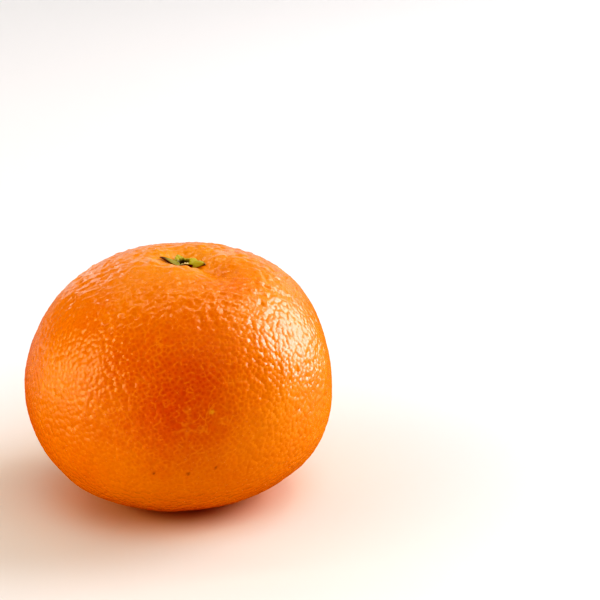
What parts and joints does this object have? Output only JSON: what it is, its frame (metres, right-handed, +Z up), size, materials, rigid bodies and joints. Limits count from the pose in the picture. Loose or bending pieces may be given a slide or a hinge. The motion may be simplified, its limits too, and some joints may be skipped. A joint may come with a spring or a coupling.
{
  "type": "mandarin",
  "caption": "Whole oblate mandarin with a glossy pored orange rind, a green star calyx and torn stalk stump in the dip of its crown, standing on a small flat foot.",
  "frame": {"origin": "on the resting surface, under the middle of the fruit's bounding box", "axes": "+Z up, from the foot to the crown; +X to the right and -Y towards the viewer, as the picture sees the fruit"},
  "size_m": [0.0658, 0.0652, 0.0529],
  "materials": {
    "rind": "satin",
    "calyx": "matte",
    "stalk": "matte"
  },
  "bodies": {
    "root": {"fruit": "rind", "calyx": "calyx", "stalk_stump": "stalk"}
  },
  "joints": []
}
